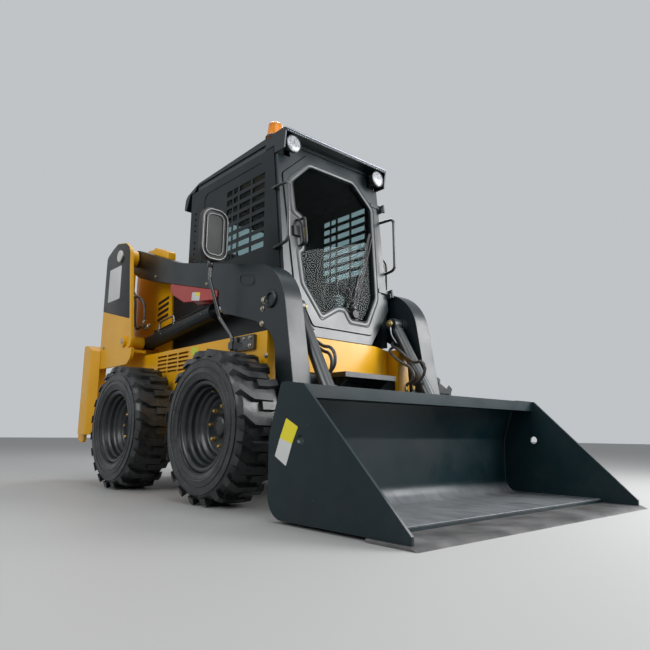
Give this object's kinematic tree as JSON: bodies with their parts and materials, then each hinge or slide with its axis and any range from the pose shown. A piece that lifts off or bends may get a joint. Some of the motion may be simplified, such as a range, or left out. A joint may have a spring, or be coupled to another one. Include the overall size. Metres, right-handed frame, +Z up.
{
  "type": "skid steer loader",
  "caption": "Compact wheeled loader with a cab behind a front door, lift arms hinged on rear towers, a quick hitch and a wide bucket; arms, bucket, wheels and doors move.",
  "frame": {"origin": "on the ground, under the middle of the machine's bounding box, bucket included", "axes": "+X forward towards the bucket, +Y to the machine's left, +Z up"},
  "size_m": [3.5826, 1.802, 2.252],
  "materials": {
    "tyre": "matte",
    "amber": "satin",
    "black_paint": "satin",
    "black_gloss": "gloss",
    "red_paint": "satin",
    "chrome": "polished",
    "worn_steel": "worn",
    "glass": "clear",
    "seat_cover": "matte",
    "plastic": "matte",
    "hose": "satin",
    "cast": "rough",
    "lamp_lens": "gloss",
    "beacon_amber": "gloss",
    "mirror_back": "gloss"
  },
  "bodies": {
    "chassis": {"chassis_tub": "black_paint", "side_case_right": "amber", "side_case_left": "amber", "tower_outer_right": "amber", "tower_outer_left": "amber", "tower_inner_right": "amber", "tower_inner_left": "amber", "pivot_pins": "worn_steel", "front_cross": "amber", "entry_step": "black_paint", "cab_frame": "black_gloss", "cab_side_right": "black_paint", "cab_side_left": "black_paint", "cab_rear": "black_paint", "cab_glass": "glass", "cab_roof": "black_gloss", "cab_floor": "black_paint", "seat": "seat_cover", "levers": "plastic", "engine_block": "cast", "cooler": "cast", "rear_frame": "amber", "rear_guards": "amber", "work_lamps": "lamp_lens", "beacon": "beacon_amber", "mirrors": "mirror_back", "mirror_stalks": "black_paint", "grab_handles": "black_paint", "tower_hoses": "hose"},
    "arms": {"lift_arm_right": "black_paint", "lift_arm_left": "black_paint", "arm_cross": "black_paint", "arm_stops": "amber", "arm_lock": "red_paint", "arm_hoses": "hose"},
    "lift_barrels": {"lift_barrels": "black_paint"},
    "lift_rods": {"lift_rods": "chrome"},
    "tilt_barrels": {"tilt_barrels": "black_paint"},
    "tilt_rods": {"tilt_rods": "chrome"},
    "bucket": {"quick_hitch": "black_paint", "bucket_shell": "black_paint", "bucket_edge": "worn_steel"},
    "door": {"door_frame": "black_gloss", "door_glass": "glass", "door_fittings": "plastic"},
    "rear_door": {"rear_door": "black_paint"},
    "hood": {"engine_hood": "black_paint"},
    "wheel_front_right": {"tyre_front_right": "tyre", "rim_front_right": "black_gloss"},
    "wheel_front_left": {"tyre_front_left": "tyre", "rim_front_left": "black_gloss"},
    "wheel_rear_right": {"tyre_rear_right": "tyre", "rim_rear_right": "black_gloss"},
    "wheel_rear_left": {"tyre_rear_left": "tyre", "rim_rear_left": "black_gloss"}
  },
  "joints": [
    {"name": "lift", "type": "hinge", "parent": "chassis", "child": "arms", "pos_m": [-1.217, 0, 1.66], "axis": [0, -1, 0], "range_deg": [0, 66]},
    {"name": "lift_barrel_swing", "type": "hinge", "parent": "chassis", "child": "lift_barrels", "pos_m": [-1.047, 0, 0.99], "axis": [0, -1, 0], "range_deg": [0, 56.2]},
    {"name": "lift_rod_slide", "type": "slide", "parent": "lift_barrels", "child": "lift_rods", "axis": [0.9942, 0, 0.1075], "range_m": [0, 0.712]},
    {"name": "tilt", "type": "hinge", "parent": "arms", "child": "bucket", "pos_m": [0.808, 0, 0.205], "axis": [0, 1, 0], "range_deg": [-22, 103]},
    {"name": "tilt_barrel_swing", "type": "hinge", "parent": "arms", "child": "tilt_barrels", "pos_m": [0.548, 0, 1.045], "axis": [0, 1, 0], "range_deg": [-0.22, 1.03]},
    {"name": "tilt_rod_slide", "type": "slide", "parent": "tilt_barrels", "child": "tilt_rods", "axis": [0.4946, 0, -0.8691], "range_m": [-0.0726, 0.34]},
    {"name": "door_swing", "type": "hinge", "parent": "chassis", "child": "door", "pos_m": [0.53277, 0.442, 0.90391], "axis": [-0.1184, 0, 0.993], "range_deg": [0, 90]},
    {"name": "rear_door_swing", "type": "hinge", "parent": "chassis", "child": "rear_door", "pos_m": [-1.534, 0.434, 0.9], "axis": [0, 0, -1], "range_deg": [0, 100]},
    {"name": "hood_lift", "type": "hinge", "parent": "chassis", "child": "hood", "pos_m": [-0.685, 0, 1.48], "axis": [0, 1, 0], "range_deg": [0, 55]},
    {"name": "wheel_front_right_spin", "type": "hinge", "parent": "chassis", "child": "wheel_front_right", "pos_m": [0.364, -0.74, 0.389], "axis": [0, 1, 0], "continuous": true},
    {"name": "wheel_front_left_spin", "type": "hinge", "parent": "chassis", "child": "wheel_front_left", "pos_m": [0.364, 0.74, 0.389], "axis": [0, 1, 0], "continuous": true},
    {"name": "wheel_rear_right_spin", "type": "hinge", "parent": "chassis", "child": "wheel_rear_right", "pos_m": [-0.738, -0.74, 0.389], "axis": [0, 1, 0], "continuous": true},
    {"name": "wheel_rear_left_spin", "type": "hinge", "parent": "chassis", "child": "wheel_rear_left", "pos_m": [-0.738, 0.74, 0.389], "axis": [0, 1, 0], "continuous": true}
  ],
  "couplings": [
    {"joint": "lift_barrel_swing", "follows": "lift", "ratio": 0.84841},
    {"joint": "lift_rod_slide", "follows": "lift", "m_per_rad": 0.61684},
    {"joint": "tilt_barrel_swing", "follows": "tilt", "ratio": 0.01},
    {"joint": "tilt_rod_slide", "follows": "tilt", "m_per_rad": 0.18908}
  ]
}
